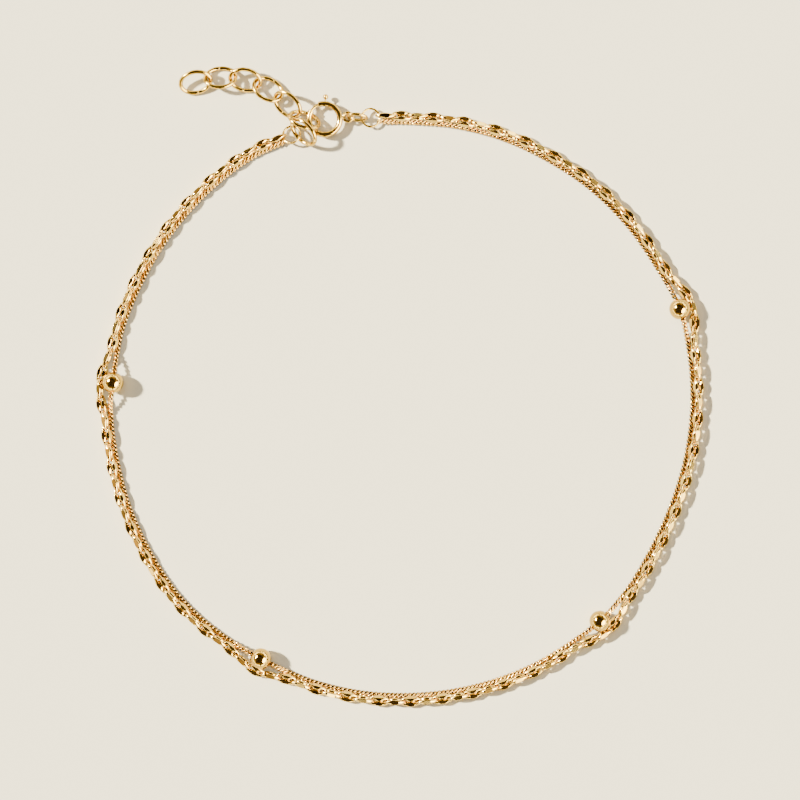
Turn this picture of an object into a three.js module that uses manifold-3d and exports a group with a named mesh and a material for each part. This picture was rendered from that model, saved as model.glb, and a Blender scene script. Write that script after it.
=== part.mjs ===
// Charm anklet that lies on a table: two fine strands on one clasp, four threaded balls, an extender.
// Millimetres, +Z up. The origin is the middle of the loop's box, on the surface that it lies on.
import * as THREE from 'three';
import { mergeVertices } from 'three/addons/utils/BufferGeometryUtils.js';
import Module from 'manifold-3d';

const wasm = await Module();
wasm.setup();

const deg = THREE.MathUtils.degToRad;

// Clearances
const WIRE_GAP = 0.1; // between two wires that hook into each other
const LINK_BITE = 0.03; // how deep the fused mirror links sink into each other

// Outer strand: a cable chain whose links lie flat and on edge by turns
const MIRROR_PITCH = 2.16;
const MIRROR_WIRE = 0.36;
const MIRROR_LINK_WIDTH = 1.24;
const MIRROR_ROLL = 20; // degrees that the flat links lean out of the surface
const MIRROR_RAIL_BOW = 0.03; // how far a rail swells at its middle
const MIRROR_CROWN_RUN = 0.24; // length of the rounding at a link's end
const MIRROR_BLUNT = 0.55; // share of a link's width that its straight end takes
const STRAND_SPACING = 0.78; // from the inner strand's middle to the outer strand's

// Inner strand: a fine curb chain, as one flattened tube
const CURB_WIDTH = 0.74;
const CURB_THICKNESS = 0.54;
const CURB_SIDES = 8;
const CURB_STEP = 6.8;
const STRAND_END_GAP = 0.15; // from the strand's end to the thin ring's outside
const END_SHIFT = 0.38; // both strands close in on the middle of their ring
const END_SHIFT_RUN = 6;
const END_RISE_RUN = 4; // length in which the inner strand climbs level with its ring

// Balls threaded on the inner strand
const BEAD_DIAMETER = 2.9;
const BEAD_BORE = 1.0;
const BEAD_ROWS = 5;
const BEAD_SIDES = 12;
const BEAD_RISE_RUN = 3.4; // length in which the strand climbs from the table to a ball's bore
const BEAD_SWERVE = 1.0; // how much further out the outer strand passes a ball
const BEAD_SWERVE_RUN = 5.6;

// Thin rings that gather the strands, and the oval link at the clasp
const JUMP_RING_DIAMETER = 2.75;
const JUMP_RING_WIRE = 0.3;
const RIGHT_RING_LEAN = { heading: 180, roll: 0, tilt: 8 }; // degrees, held up by the clasp's link
const LEFT_RING_LEAN = { heading: -24, roll: -9, tilt: 22 }; // degrees, held up by the extender
const CLASP_LINK_LENGTH = 2.96;
const CLASP_LINK_WIDTH = 1.9;
const CLASP_LINK_WIRE = 0.45;
const CLASP_LINK_ROLL = 60;

// Spring ring with its bolt
const CLASP_DIAMETER = 5.0;
const CLASP_TUBE = 0.8;
const CLASP_WALL = 0.13;
const CLASP_LIFT = 0.65; // it lies on the link that it holds
const MOUTH_START = 113; // degrees round the ring, from its eye's side towards the thumb pin
const MOUTH_END = 148;
const BOLT_WIRE = 0.4;
const BOLT_TAIL = 75;
const BOLT_SEAT = 8; // degrees that the bolt's tip reaches into the far end of the tube
const BOLT_TRAVEL = 43.5;
const THUMB_PIN_ANGLE = 87;
const THUMB_PIN_WIRE = 0.3;
const THUMB_PIN_REACH = 3.05; // from the ring's middle to the middle of the pin's ball
const THUMB_BALL = 0.7;
const SLOT_CLEARANCE = 0.08;
const SLOT_PLAY = 1; // degrees of slot beyond the pin at either end of its travel
const EYE_DIAMETER = 1.6;
const EYE_WIRE = 0.36;
const EYE_ANGLE = 5;
const EYE_SOLDER = 0.08; // how deep the eye sits in the tube's wall
const NECK_DIAMETER = 0.5;
const NECK_BITE = 0.09; // how deep the neck sits in the tube's wall

// Extender: oval links
const EXTENDER_LENGTH = 4.7;
const EXTENDER_WIDTH = 3.7;
const EXTENDER_WIRE = 0.56;

// Facets of the meshes
const WIRE_SIDES = 5;
const RING_SIDES = 10;
const TUBE_SIDES = 8;
const CLASP_STEPS = 14;
const BOLT_STEPS = 6;
const PIN_SIDES = 6;
const BALL_SIDES = 8;
const BALL_ROWS = 5;
const LINE_PIECES = 2400; // straight pieces of the outer strand's measuring line

// The inner strand's route, chosen by hand: from the clasp's thin ring clockwise to the extender's.
// The first and last point are the middles of those rings, and the strand stops short of them.
const STRAND_ROUTE = [
  [-4.4, 36.4],
  [0.1, 35.9],
  [7.0, 35.3],
  [13.6, 33.6],
  [19.8, 30.7],
  [25.5, 26.9],
  [30.4, 22.1],
  [34.4, 16.5],
  [37.7, 10.3],
  [39.2, 3.6],
  [39.5, -3.3],
  [38.6, -10.1],
  [36.6, -16.6],
  [33.8, -22.7],
  [30.4, -28.3],
  [26.8, -32.2],
  [19.9, -37.2],
  [13.5, -40.1],
  [6.9, -41.8],
  [0.1, -42.4],
  [-6.7, -41.9],
  [-13.3, -40.2],
  [-19.4, -37.3],
  [-25.4, -33.7],
  [-30.5, -29.0],
  [-34.4, -23.2],
  [-37.3, -16.9],
  [-39.1, -10.2],
  [-39.9, -3.4],
  [-39.5, 0.3],
  [-38.5, 7.0],
  [-36.0, 13.5],
  [-32.5, 19.6],
  [-28.1, 25.0],
  [-22.7, 29.7],
  [-15.2, 34.1],
];
const BEAD_STOPS = [8, 15, 22, 29]; // the route's points that are the middles of the balls

const CLASP_PLACE = [-10.7, 36.2];

// How the extender's links lie, from the strands to its free end, chosen by hand: the step from the
// middle before (the thin ring's at first), along the link as a share of its inner length and across
// it as a share of its width, how far it's held up as a share of its width, and degrees.
const EXTENDER_LINKS = [
  { along: 0.268, across: 0.376, lift: 0.119, heading: -45, roll: 48.5, tilt: 7 },
  { along: -0.091, across: 0.435, lift: 0.018, heading: -15, roll: -48, tilt: -8.5 },
  { along: -0.867, across: 0.023, lift: 0.008, heading: -41, roll: 38.5, tilt: 5.5 },
  { along: -0.942, across: 0.113, lift: 0, heading: -31.5, roll: -26, tilt: 3 },
  { along: -0.921, across: 0.167, lift: 0, heading: -11.5, roll: 29.5, tilt: -1.5 },
  { along: -0.933, across: 0.169, lift: 0, heading: 5.5, roll: -31, tilt: -2.5 },
  { along: -0.959, across: 0.043, lift: 0, heading: 13, roll: 31, tilt: 3 },
];

// Materials

function goldMaterial(name, colour, roughness) {
  return new THREE.MeshStandardMaterial({ name, color: colour, roughness, metalness: 1 });
}

const polishedGold = () => goldMaterial('polished gold', 0xe3b45a, 0.08);
const cutGold = () => goldMaterial('diamond-cut gold', 0xe8bd68, 0.12);
const warmGold = () => goldMaterial('fine chain gold', 0xd99a4a, 0.25);

// Shapes

// A closed mesh from rings of points that are joined one to the next and the last to the first.
function closedMesh(rings) {
  const sides = rings[0].length;
  const positions = rings.flat().flatMap((point) => [point.x, point.y, point.z]);
  const index = [];
  rings.forEach((ring, i) => {
    const here = i * sides;
    const next = ((i + 1) % rings.length) * sides;
    for (let j = 0; j < sides; j += 1) {
      const k = (j + 1) % sides;
      index.push(here + j, next + j, next + k, here + j, next + k, here + k);
    }
  });
  const geometry = new THREE.BufferGeometry();
  geometry.setAttribute('position', new THREE.Float32BufferAttribute(positions, 3));
  geometry.setIndex(index);
  return geometry;
}

// Round wire bent along a closed outline in the XY plane, mitred at each corner, a ridge inwards.
function wireLoop(outline, wire, sides) {
  const count = outline.length;
  const rings = outline.map((point, i) => {
    const before = outline[(i + count - 1) % count];
    const after = outline[(i + 1) % count];
    const arriving = point.clone().sub(before).normalize();
    const leaving = after.clone().sub(point).normalize();
    const along = arriving.clone().add(leaving).normalize();
    const outward = new THREE.Vector3(along.y, -along.x, 0);
    const mitre = 1 / along.dot(arriving);
    return Array.from({ length: sides }, (_, j) => {
      const turn = Math.PI + (2 * Math.PI * j) / sides;
      const corner = outward.clone().multiplyScalar((mitre * wire * Math.cos(turn)) / 2);
      return corner.add(new THREE.Vector3(point.x, point.y, (wire * Math.sin(turn)) / 2));
    });
  });
  return closedMesh(rings);
}

// An oval through the middle of a wire, from the link's outer length and width.
function ovalOutline(length, width, wire, sides) {
  return Array.from({ length: sides }, (_, i) => {
    const turn = (2 * Math.PI * i) / sides;
    const x = ((length - wire) / 2) * Math.cos(turn);
    return new THREE.Vector2(x, ((width - wire) / 2) * Math.sin(turn));
  });
}

// The ten corners of a mirror link's middle line: blunt ends, short crowns and slightly bowed rails.
function mirrorOutline(length) {
  const end = (length - MIRROR_WIRE) / 2;
  const side = (MIRROR_LINK_WIDTH - MIRROR_WIRE) / 2 - MIRROR_RAIL_BOW;
  const blunt = side * MIRROR_BLUNT;
  const quarter = [
    [end, -blunt],
    [end, blunt],
    [end - MIRROR_CROWN_RUN, side],
    [0, side + MIRROR_RAIL_BOW],
    [MIRROR_CROWN_RUN - end, side],
  ];
  const half = quarter.map(([x, y]) => new THREE.Vector2(x, y));
  return [...half, ...half.map((point) => point.clone().negate())];
}

// A regular polygon as a section, wide along its second axis.
function sectionShape(thickness, width, sides) {
  const corners = Array.from({ length: sides }, (_, i) => {
    const turn = (2 * Math.PI * i) / sides;
    return new THREE.Vector2((thickness / 2) * Math.cos(turn), (width / 2) * Math.sin(turn));
  });
  return new THREE.Shape(corners);
}

// An arc round the Z axis, from one angle to another in degrees.
class RingArc extends THREE.Curve {
  constructor(radius, from, to) {
    super();
    this.radius = radius;
    this.from = deg(from);
    this.to = deg(to);
  }

  getPoint(t, target = new THREE.Vector3()) {
    const turn = this.from + (this.to - this.from) * t;
    return target.set(this.radius * Math.cos(turn), this.radius * Math.sin(turn), 0);
  }
}

function arcWire(radius, wire, from, to, steps, sides) {
  const options = { steps, extrudePath: new RingArc(radius, from, to), bevelEnabled: false };
  return new THREE.ExtrudeGeometry(sectionShape(wire, wire, sides), options);
}

// Solids for joins and cuts

function solidOf(geometry) {
  const bare = geometry.clone();
  bare.deleteAttribute('normal');
  bare.deleteAttribute('uv');
  const merged = mergeVertices(bare);
  const mesh = new wasm.Mesh({
    numProp: 3,
    vertProperties: new Float32Array(merged.attributes.position.array),
    triVerts: new Uint32Array(merged.index.array),
  });
  return new wasm.Manifold(mesh);
}

function geometryOf(solid) {
  const mesh = solid.getMesh();
  const geometry = new THREE.BufferGeometry();
  geometry.setAttribute('position', new THREE.BufferAttribute(mesh.vertProperties, 3));
  geometry.setIndex(new THREE.BufferAttribute(mesh.triVerts, 1));
  geometry.computeVertexNormals();
  return geometry;
}

// Routes

// The inner strand's route seen from above, with lengths measured along it.
class Route {
  constructor(corners) {
    const points = corners.map(([x, y]) => new THREE.Vector3(x, y, 0));
    this.curve = new THREE.CatmullRomCurve3(points, false, 'centripetal');
    this.curve.arcLengthDivisions = 4000;
    this.lengths = this.curve.getLengths();
    this.length = this.lengths[this.lengths.length - 1];
    this.corners = points.length;
  }

  lengthAtCorner(index) {
    return this.lengths[Math.round((index / (this.corners - 1)) * (this.lengths.length - 1))];
  }

  // The place at a length along the route, moved outwards from the loop by a distance.
  pointAt(length, outward) {
    const u = THREE.MathUtils.clamp(length / this.length, 0, 1);
    const tangent = this.curve.getTangentAt(u);
    const side = new THREE.Vector3(-tangent.y, tangent.x, 0);
    return this.curve.getPointAt(u).addScaledVector(side, outward);
  }
}

// 1 at the middle of a bump, 0 beyond its run, level at both.
function bump(distance, run) {
  return 1 - THREE.MathUtils.smoothstep(Math.abs(distance), 0, run);
}

const route = new Route(STRAND_ROUTE);
const beadLengths = BEAD_STOPS.map((stop) => route.lengthAtCorner(stop));
const endShift = (length) =>
  END_SHIFT * (bump(length, END_SHIFT_RUN) + bump(route.length - length, END_SHIFT_RUN));

// Heights above the table
const mirrorHeight = MIRROR_LINK_WIDTH / 2;
const beadHeight = BEAD_DIAMETER / 2;
const curbHeight = CURB_THICKNESS / 2;

// The thin rings at the two ends of the route
const up = new THREE.Vector3(0, 0, 1);
const ringMiddle = (JUMP_RING_DIAMETER - JUMP_RING_WIRE) / 2;
const lastCorner = STRAND_ROUTE.length - 1;
const rightRingPlace = ringPlace(STRAND_ROUTE[0], STRAND_ROUTE[1], 1, RIGHT_RING_LEAN);
const leftRingPlace = ringPlace(STRAND_ROUTE[lastCorner], STRAND_ROUTE[lastCorner - 1], -1, LEFT_RING_LEAN);

function turnOf({ heading = 0, tilt = 0, roll = 0 }) {
  return new THREE.Euler(deg(roll), -deg(tilt), deg(heading), 'ZYX');
}

// A leaning thin ring, at the height that puts its wire level with the outer strand that it holds,
// which meets it to one side of the route: 1 is left of the way to the strand, -1 right.
function ringPlace([x, y], [strandX, strandY], side, lean) {
  const normal = up.clone().applyEuler(turnOf(lean));
  const towards = new THREE.Vector3(strandX - x, strandY - y, 0).normalize();
  towards.applyAxisAngle(up, side * Math.asin((STRAND_SPACING - END_SHIFT) / ringMiddle));
  towards.z = -towards.dot(normal) / normal.z;
  return { x, y, z: mirrorHeight - ringMiddle * towards.normalize().z, ...lean };
}

// Inner strand

function curbLift(length) {
  const level = BEAD_DIAMETER / 2;
  const climbs = beadLengths.map((middle) => {
    const beyond = Math.max(0, Math.abs(length - middle) - level);
    return 1 - THREE.MathUtils.smoothstep(beyond, 0, BEAD_RISE_RUN);
  });
  const ends = Math.max(bump(length, END_RISE_RUN), bump(route.length - length, END_RISE_RUN));
  const toBead = Math.max(...climbs) * (beadHeight - curbHeight);
  return curbHeight + toBead + ends * (mirrorHeight - curbHeight);
}

const curbPoint = (length) => {
  const point = route.pointAt(length, -endShift(length));
  return point.setZ(curbLift(length));
};

// Lengths along the route at which the tube has a section: even steps between the balls, and
// closer ones where the strand climbs to a ball.
function curbStations() {
  const start = JUMP_RING_DIAMETER / 2 + STRAND_END_GAP;
  const end = route.length - start;
  const level = BEAD_DIAMETER / 2;
  const climb = [level, level + BEAD_RISE_RUN / 3, level + (2 * BEAD_RISE_RUN) / 3, level + BEAD_RISE_RUN];
  const knots = [start];
  for (const middle of beadLengths) {
    knots.push(...climb.map((step) => middle - step).reverse(), ...climb.map((step) => middle + step));
  }
  knots.push(end);
  const stations = [start];
  for (let i = 1; i < knots.length; i += 1) {
    const run = knots[i] - knots[i - 1];
    const parts = Math.max(1, Math.round(run / CURB_STEP));
    for (let part = 1; part <= parts; part += 1) stations.push(knots[i - 1] + (run * part) / parts);
  }
  return stations;
}

// A curve through places along the strand, with one extrusion step from each place to the next and
// a section that stays level, so that the strand lies on its flat side.
class StrandCurve extends THREE.Curve {
  constructor(stations) {
    super();
    this.stations = stations;
  }

  computeFrenetFrames(segments) {
    const shares = Array.from({ length: segments + 1 }, (_, i) => i / segments);
    const tangents = shares.map((share) => this.getTangent(share));
    const binormals = tangents.map((tangent) => tangent.clone().cross(up).normalize());
    const normals = tangents.map((tangent, i) => binormals[i].clone().cross(tangent));
    return { tangents, normals, binormals };
  }

  getUtoTmapping(u) {
    return u;
  }

  getPoint(t) {
    const place = t * (this.stations.length - 1);
    const index = Math.min(Math.floor(place), this.stations.length - 2);
    const share = place - index;
    const length = THREE.MathUtils.lerp(this.stations[index], this.stations[index + 1], share);
    return curbPoint(length);
  }
}

function curbGeometry() {
  const stations = curbStations();
  const options = {
    steps: stations.length - 1,
    extrudePath: new StrandCurve(stations),
    bevelEnabled: false,
  };
  return new THREE.ExtrudeGeometry(sectionShape(CURB_THICKNESS, CURB_WIDTH, CURB_SIDES), options);
}

// Outer strand

function mirrorOffset(length) {
  const swerves = beadLengths.map((middle) => bump(length - middle, BEAD_SWERVE_RUN));
  return STRAND_SPACING - endShift(length) + BEAD_SWERVE * Math.max(...swerves);
}

const mirrorPoint = (length) => route.pointAt(length, mirrorOffset(length)).setZ(mirrorHeight);

// The outer strand's line as a fine polyline, so that places on it are found by length.
function mirrorLine() {
  const pieces = LINE_PIECES;
  const points = Array.from({ length: pieces + 1 }, (_, i) => mirrorPoint((route.length * i) / pieces));
  const lengths = [0];
  for (let i = 1; i <= pieces; i += 1) lengths.push(lengths[i - 1] + points[i].distanceTo(points[i - 1]));
  const placeAt = (length) => {
    const next = Math.min(Math.max(lengths.findIndex((reached) => reached >= length), 1), pieces);
    const share = (length - lengths[next - 1]) / (lengths[next] - lengths[next - 1]);
    const point = points[next - 1].clone().lerp(points[next], share);
    const run = points[next].clone().sub(points[next - 1]);
    return { point, heading: Math.atan2(run.y, run.x) };
  };
  return { whole: lengths[pieces], placeAt };
}

// The strand's links: an odd number at one pitch, so that both end links stand on edge in a thin
// ring. The two halves hook into each other at the middle without being fused.
function mirrorLinks() {
  const line = mirrorLine();
  const reach = Math.sqrt(ringMiddle ** 2 - (STRAND_SPACING - END_SHIFT) ** 2);
  const span = line.whole - 2 * reach + 2 * LINK_BITE + 3 * WIRE_GAP + JUMP_RING_WIRE;
  const count = 2 * Math.round((span / MIRROR_PITCH - 1) / 2) + 1;
  const pitch = span / count;
  const length = pitch + 2 * MIRROR_WIRE - LINK_BITE;
  const first = reach + length / 2 - MIRROR_WIRE - JUMP_RING_WIRE / 2 - WIRE_GAP;
  const half = Math.ceil(count / 2);
  const geometry = wireLoop(mirrorOutline(length), MIRROR_WIRE, WIRE_SIDES);
  const links = Array.from({ length: count }, (_, i) => {
    const reached = first + i * pitch - (i < half ? 0 : LINK_BITE + WIRE_GAP);
    const { point, heading } = line.placeAt(reached);
    const level = bump(reached, END_SHIFT_RUN) + bump(line.whole - reached, END_SHIFT_RUN);
    const roll = deg((i % 2 === 0 ? 90 : 0) - MIRROR_ROLL * (1 - level));
    const turn = new THREE.Euler(roll, 0, heading, 'ZYX');
    const place = new THREE.Matrix4().makeRotationFromEuler(turn).setPosition(point);
    return solidOf(geometry.clone().applyMatrix4(place));
  });
  return [links.slice(0, half), links.slice(half)].map((part) => geometryOf(wasm.Manifold.union(part)));
}

// Beads

function beadGeometry() {
  const radius = BEAD_DIAMETER / 2;
  const first = Math.asin(BEAD_BORE / BEAD_DIAMETER);
  const profile = Array.from({ length: BEAD_ROWS + 1 }, (_, i) => {
    const turn = first + ((Math.PI - 2 * first) * i) / BEAD_ROWS;
    return new THREE.Vector2(radius * Math.sin(turn), -radius * Math.cos(turn));
  });
  profile.push(profile[0].clone());
  return new THREE.LatheGeometry(profile, BEAD_SIDES).rotateZ(-Math.PI / 2);
}

// Spring ring and its bolt, round their common middle

const tubeMiddle = (CLASP_DIAMETER - CLASP_TUBE) / 2;
const claspHeight = CLASP_LIFT + CLASP_TUBE / 2;
const eyeDistance = CLASP_DIAMETER / 2 + EYE_DIAMETER / 2 - EYE_SOLDER;

// A cylinder that points away from the ring's middle, at an angle in degrees.
function spoke(diameter, from, to, angle, sides) {
  const cylinder = new THREE.CylinderGeometry(diameter / 2, diameter / 2, to - from, sides);
  cylinder.rotateZ(-Math.PI / 2).translate((from + to) / 2, 0, 0);
  return cylinder.rotateZ(deg(angle));
}

function springRingGeometry() {
  const bore = CLASP_TUBE - 2 * CLASP_WALL;
  const start = MOUTH_END;
  const end = MOUTH_START + 360;
  const past = 2; // degrees that the hollow runs out of each end of the tube
  const tube = solidOf(arcWire(tubeMiddle, CLASP_TUBE, start, end, CLASP_STEPS, TUBE_SIDES));
  const hollow = solidOf(arcWire(tubeMiddle, bore, start - past, end + past, CLASP_STEPS, TUBE_SIDES));
  const outline = ovalOutline(EYE_DIAMETER, EYE_DIAMETER, EYE_WIRE, RING_SIDES);
  const eye = wireLoop(outline, EYE_WIRE, WIRE_SIDES).translate(eyeDistance, 0, 0).rotateZ(deg(EYE_ANGLE));
  const neckStart = CLASP_DIAMETER / 2 - NECK_BITE;
  const neckEnd = CLASP_DIAMETER / 2 + EYE_WIRE / 2;
  const neck = spoke(NECK_DIAMETER, neckStart, neckEnd, EYE_ANGLE, TUBE_SIDES);
  const slot = slotGeometry();
  const body = wasm.Manifold.union([tube.subtract(hollow), solidOf(eye), solidOf(neck)]);
  return geometryOf(body.subtract(solidOf(slot)));
}

// The slot in the tube's outer wall that the thumb pin runs in.
function slotGeometry() {
  const width = THUMB_PIN_WIRE + 2 * SLOT_CLEARANCE;
  const margin = THREE.MathUtils.radToDeg(width / tubeMiddle) / 2 + SLOT_PLAY;
  const from = deg(THUMB_PIN_ANGLE - BOLT_TRAVEL - margin);
  const to = deg(THUMB_PIN_ANGLE + margin);
  const shape = new THREE.Shape();
  shape.absarc(0, 0, CLASP_DIAMETER / 2 + CLASP_WALL, from, to, false);
  shape.absarc(0, 0, tubeMiddle, to, from, true);
  const options = { depth: width, bevelEnabled: false, curveSegments: 8 };
  return new THREE.ExtrudeGeometry(shape, options).translate(0, 0, -width / 2);
}

function springBoltGeometry() {
  const shank = arcWire(tubeMiddle, BOLT_WIRE, BOLT_TAIL, MOUTH_END + BOLT_SEAT, BOLT_STEPS, TUBE_SIDES);
  const pin = solidOf(spoke(THUMB_PIN_WIRE, tubeMiddle, THUMB_PIN_REACH, THUMB_PIN_ANGLE, PIN_SIDES));
  const ball = new THREE.SphereGeometry(THUMB_BALL / 2, BALL_SIDES, BALL_ROWS);
  ball.translate(THUMB_PIN_REACH, 0, 0).rotateZ(deg(THUMB_PIN_ANGLE));
  return geometryOf(wasm.Manifold.union([solidOf(shank), pin, solidOf(ball)]));
}

// Assembly

const anklet = new THREE.Group();

// Sets a mesh at a place: heading about Z, then one end up, then a roll about its length, in degrees.
function add(name, geometry, material, place) {
  const mesh = new THREE.Mesh(geometry, material);
  const { x = 0, y = 0, z = 0 } = place;
  mesh.name = name;
  mesh.position.set(x, y, z);
  mesh.rotation.copy(turnOf(place));
  anklet.add(mesh);
}

function addStrands() {
  add('curb_chain', curbGeometry(), warmGold(), {});
  const [right, left] = mirrorLinks();
  add('mirror_chain_right', right, cutGold(), {});
  add('mirror_chain_left', left, cutGold(), {});
}

function addBeads() {
  beadLengths.forEach((length, i) => {
    const middle = route.pointAt(length, -endShift(length));
    const ahead = route.pointAt(length + 0.1, -endShift(length + 0.1)).sub(middle);
    const heading = THREE.MathUtils.radToDeg(Math.atan2(ahead.y, ahead.x));
    const place = { x: middle.x, y: middle.y, z: beadHeight, heading };
    add(`bead_${i + 1}`, beadGeometry(), polishedGold(), place);
  });
}

// The thin rings: each lies level with the outer strand, and the one at the clasp rises to its link.
function addJumpRings() {
  const outline = ovalOutline(JUMP_RING_DIAMETER, JUMP_RING_DIAMETER, JUMP_RING_WIRE, RING_SIDES);
  const ring = () => wireLoop(outline, JUMP_RING_WIRE, WIRE_SIDES);
  add('jump_ring_right', ring(), polishedGold(), rightRingPlace);
  add('jump_ring_left', ring(), polishedGold(), leftRingPlace);
}

function addClasp() {
  const [x, y] = CLASP_PLACE;
  add('spring_ring', springRingGeometry(), polishedGold(), { x, y, z: claspHeight });
  add('spring_bolt', springBoltGeometry(), polishedGold(), { x, y, z: claspHeight });
}

// The oval link between the far side of the clasp's eye and the near side of the thin ring.
function addClaspLink() {
  const eyeWire = eyeDistance + (EYE_DIAMETER - EYE_WIRE) / 2;
  const [x, y] = CLASP_PLACE;
  const from = new THREE.Vector3(eyeWire, 0, 0).applyAxisAngle(up, deg(EYE_ANGLE));
  from.add(new THREE.Vector3(x, y, claspHeight));
  const ring = rightRingPlace;
  const to = new THREE.Vector3(ringMiddle, 0, 0).applyEuler(turnOf(ring));
  to.add(new THREE.Vector3(ring.x, ring.y, ring.z));
  const middle = from.clone().add(to).divideScalar(2);
  const run = to.sub(from);
  const heading = THREE.MathUtils.radToDeg(Math.atan2(run.y, run.x));
  const tilt = THREE.MathUtils.radToDeg(Math.atan2(run.z, Math.hypot(run.x, run.y)));
  const outline = ovalOutline(CLASP_LINK_LENGTH, CLASP_LINK_WIDTH, CLASP_LINK_WIRE, RING_SIDES);
  const place = { x: middle.x, y: middle.y, z: middle.z, heading, tilt, roll: CLASP_LINK_ROLL };
  add('clasp_link', wireLoop(outline, CLASP_LINK_WIRE, WIRE_SIDES), polishedGold(), place);
}

// Each link lies on the table, or is held up from it, a step on from the one before.
function addExtender() {
  const outline = ovalOutline(EXTENDER_LENGTH, EXTENDER_WIDTH, EXTENDER_WIRE, RING_SIDES);
  const pitch = EXTENDER_LENGTH - 2 * EXTENDER_WIRE;
  const middle = new THREE.Vector3(leftRingPlace.x, leftRingPlace.y, 0);
  EXTENDER_LINKS.forEach(({ along, across, lift, heading, roll, tilt }, i) => {
    const step = new THREE.Vector3(along * pitch, across * EXTENDER_WIDTH, 0);
    middle.add(step.applyAxisAngle(up, deg(heading)));
    const endRise = ((EXTENDER_LENGTH - EXTENDER_WIRE) / 2) * Math.sin(deg(tilt));
    const sideRise = ((EXTENDER_WIDTH - EXTENDER_WIRE) / 2) * Math.cos(deg(tilt)) * Math.sin(deg(roll));
    const z = Math.hypot(endRise, sideRise) + EXTENDER_WIRE / 2 + lift * EXTENDER_WIDTH;
    const link = wireLoop(outline, EXTENDER_WIRE, WIRE_SIDES);
    const name = `extender_link_${EXTENDER_LINKS.length - i}`;
    add(name, link, polishedGold(), { x: middle.x, y: middle.y, z, heading, roll, tilt });
  });
}

addStrands();
addBeads();
addJumpRings();
addClasp();
addClaspLink();
addExtender();

// The whole is moved so that its box stands on the table with its middle at the origin.
const box = new THREE.Box3().setFromObject(anklet, true);
const middle = box.getCenter(new THREE.Vector3());
anklet.position.set(-middle.x, -middle.y, -box.min.z);
anklet.updateMatrixWorld(true);

export default anklet;
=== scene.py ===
"""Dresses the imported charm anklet: smooth gold findings, faceted mirror links and a fine curb chain.

Everything is in metres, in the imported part's own frame, and lies on the floor at height zero.
"""

import math
from contextlib import contextmanager

import bmesh
import bpy
from bpy.props import FloatProperty, FloatVectorProperty, IntProperty, PointerProperty
from mathutils import Euler, Matrix, Vector


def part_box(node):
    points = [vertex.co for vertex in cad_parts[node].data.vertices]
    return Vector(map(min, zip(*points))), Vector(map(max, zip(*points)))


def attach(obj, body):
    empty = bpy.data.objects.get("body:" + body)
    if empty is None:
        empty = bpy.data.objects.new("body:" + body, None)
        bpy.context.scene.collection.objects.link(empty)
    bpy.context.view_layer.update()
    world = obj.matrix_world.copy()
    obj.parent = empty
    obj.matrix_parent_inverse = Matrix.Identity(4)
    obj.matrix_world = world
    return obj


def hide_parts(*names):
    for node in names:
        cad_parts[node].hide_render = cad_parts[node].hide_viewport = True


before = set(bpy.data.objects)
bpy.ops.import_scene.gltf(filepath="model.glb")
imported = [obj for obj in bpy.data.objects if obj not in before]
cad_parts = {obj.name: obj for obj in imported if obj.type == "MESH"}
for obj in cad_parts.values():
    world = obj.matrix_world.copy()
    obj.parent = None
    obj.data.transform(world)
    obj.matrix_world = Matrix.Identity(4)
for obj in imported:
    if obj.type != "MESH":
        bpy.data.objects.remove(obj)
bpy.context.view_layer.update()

bl_info = {
    "name": "Charm Anklet Looks",
    "version": (1, 0, 0),
    "blender": (4, 5, 0),
    "location": "3D View > Sidebar > Anklet",
    "description": "Makes the chains, beads, rings and clasp of a gold charm anklet, and its stage",
    "category": "Object",
}

MM = 0.001
UP = Vector((0, 0, 1))

# The inner strand's route in millimetres, as the part's source gives it: from the clasp's thin ring
# clockwise to the extender's. The first and last point are the middles of those rings.
STRAND_ROUTE = [
    (-4.4, 36.4), (0.1, 35.9), (7.0, 35.3), (13.6, 33.6), (19.8, 30.7), (25.5, 26.9),
    (30.4, 22.1), (34.4, 16.5), (37.7, 10.3), (39.2, 3.6), (39.5, -3.3), (38.6, -10.1),
    (36.6, -16.6), (33.8, -22.7), (30.4, -28.3), (26.8, -32.2), (19.9, -37.2), (13.5, -40.1),
    (6.9, -41.8), (0.1, -42.4), (-6.7, -41.9), (-13.3, -40.2), (-19.4, -37.3), (-25.4, -33.7),
    (-30.5, -29.0), (-34.4, -23.2), (-37.3, -16.9), (-39.1, -10.2), (-39.9, -3.4), (-39.5, 0.3),
    (-38.5, 7.0), (-36.0, 13.5), (-32.5, 19.6), (-28.1, 25.0), (-22.7, 29.7), (-15.2, 34.1),
]
BEAD_STOPS = (8, 15, 22, 29)
CLASP_PLACE = (-10.7, 36.2)

# How the extender's links lie, from the strands to its free end: the step from the middle before (the
# thin ring's at first), along the link as a share of its inner length and across it as a share of its
# width, how far it's held up as a share of its width, and its heading, roll and tilt in degrees.
EXTENDER_LINKS = (
    (0.268, 0.376, 0.119, -45, 48.5, 7),
    (-0.091, 0.435, 0.018, -15, -48, -8.5),
    (-0.867, 0.023, 0.008, -41, 38.5, 5.5),
    (-0.942, 0.113, 0, -31.5, -26, 3),
    (-0.921, 0.167, 0, -11.5, 29.5, -1.5),
    (-0.933, 0.169, 0, 5.5, -31, -2.5),
    (-0.959, 0.043, 0, 13, 31, 3),
)

# Angles about the spring ring's middle in degrees: the rims of its mouth, the thumb pin at rest, how far
# the bolt slides back, the bolt's hidden end, how far its tip reaches past the mouth, and the eye. Then
# the roll of the oval link that is hooked on that eye.
MOUTH_START, MOUTH_END = 113, 148
PIN_ANGLE, BOLT_TRAVEL, BOLT_TAIL, BOLT_REACH, EYE_ANGLE = 87, 43.5, 75, 8, 5
CLASP_LINK_ROLL = 60

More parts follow.
